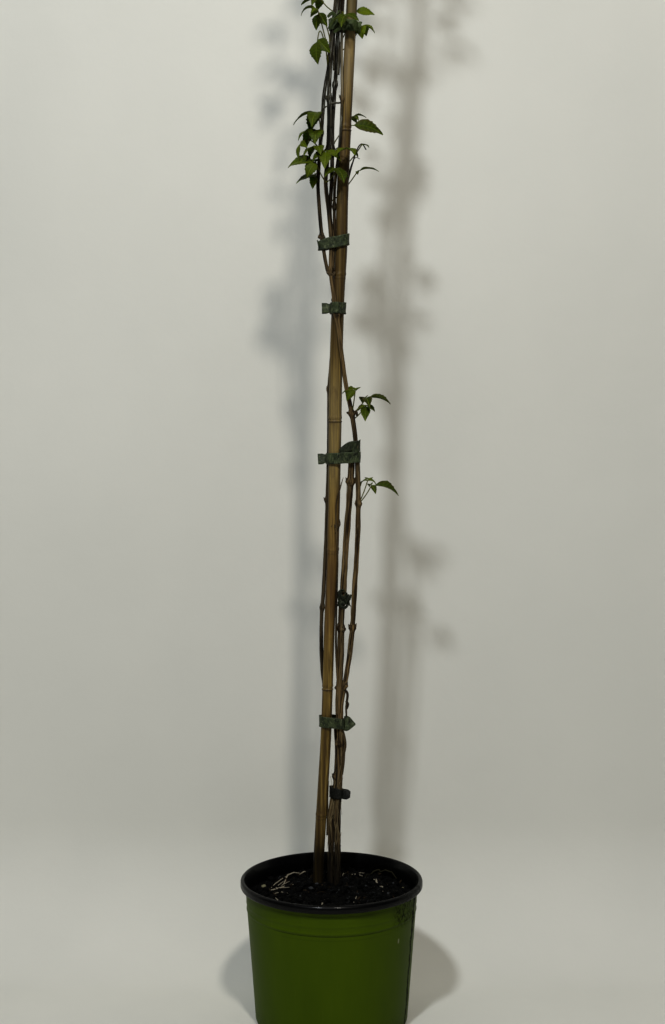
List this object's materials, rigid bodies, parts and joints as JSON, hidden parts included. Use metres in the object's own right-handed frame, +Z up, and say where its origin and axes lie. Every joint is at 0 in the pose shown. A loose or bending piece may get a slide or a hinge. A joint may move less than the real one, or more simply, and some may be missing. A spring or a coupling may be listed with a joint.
{
  "type": "potted clematis montana",
  "caption": "Young climbing plant in a round green nursery pot, its bare woody stems tied up a tall bamboo cane with sparse three-part leaves and a leafy top.",
  "frame": {"origin": "middle of the pot's underside, on the surface it stands on", "axes": "+Z up along the pot's axis, -Y towards the viewer of the picture, +X to the viewer's right"},
  "size_m": [0.19, 0.19, 1.2939],
  "materials": {
    "pot": "smooth moulded plastic, olive green outside with a black inside and rim",
    "soil": "moist dark potting mix with root and bark bits",
    "cane": "weathered tan bamboo, streaked, with dark joints",
    "stem": "ribbed brown bark, grey and peeling low down",
    "tape": "thin dark green garden tape",
    "leaf": "thin green leaf with sunken veins, paler below"
  },
  "bodies": {
    "root": {"pot": "pot", "soil": "soil", "cane": "cane", "stem_left": "stem", "stem_right": "stem", "tie_foot": "tape", "tie_low": "tape", "tie_twist": "tape", "tie_middle": "tape", "tie_upper": "tape", "tie_high": "tape", "tie_top": "tape", "tie_crown": "tape", "leaf_01": "leaf", "leaf_02": "leaf", "leaf_03": "leaf", "leaf_04": "leaf", "leaf_05": "leaf", "leaf_06": "leaf", "leaf_07": "leaf", "leaf_08": "leaf", "leaf_09": "leaf", "leaf_10": "leaf", "leaf_11": "leaf", "leaf_12": "leaf", "leaf_13": "leaf", "leaf_14": "leaf", "leaf_15": "leaf", "leaf_16": "leaf", "leaf_17": "leaf", "leaf_18": "leaf", "leaf_19": "leaf", "leaf_20": "leaf", "leaf_21": "leaf", "leaf_22": "leaf", "leaf_23": "leaf", "leaf_24": "leaf", "leaf_25": "leaf", "leaf_26": "leaf", "leaf_27": "leaf", "leaf_28": "leaf", "leaf_29": "leaf", "leaf_30": "leaf", "leaf_31": "leaf", "leaf_32": "leaf", "leaf_33": "leaf", "leaf_34": "leaf", "leaf_35": "leaf", "leaf_36": "leaf", "leaf_37": "leaf", "leaf_38": "leaf", "leaf_39": "leaf", "leaf_40": "leaf", "leaf_41": "leaf", "leaf_42": "leaf", "leaf_43": "leaf"}
  },
  "joints": []
}
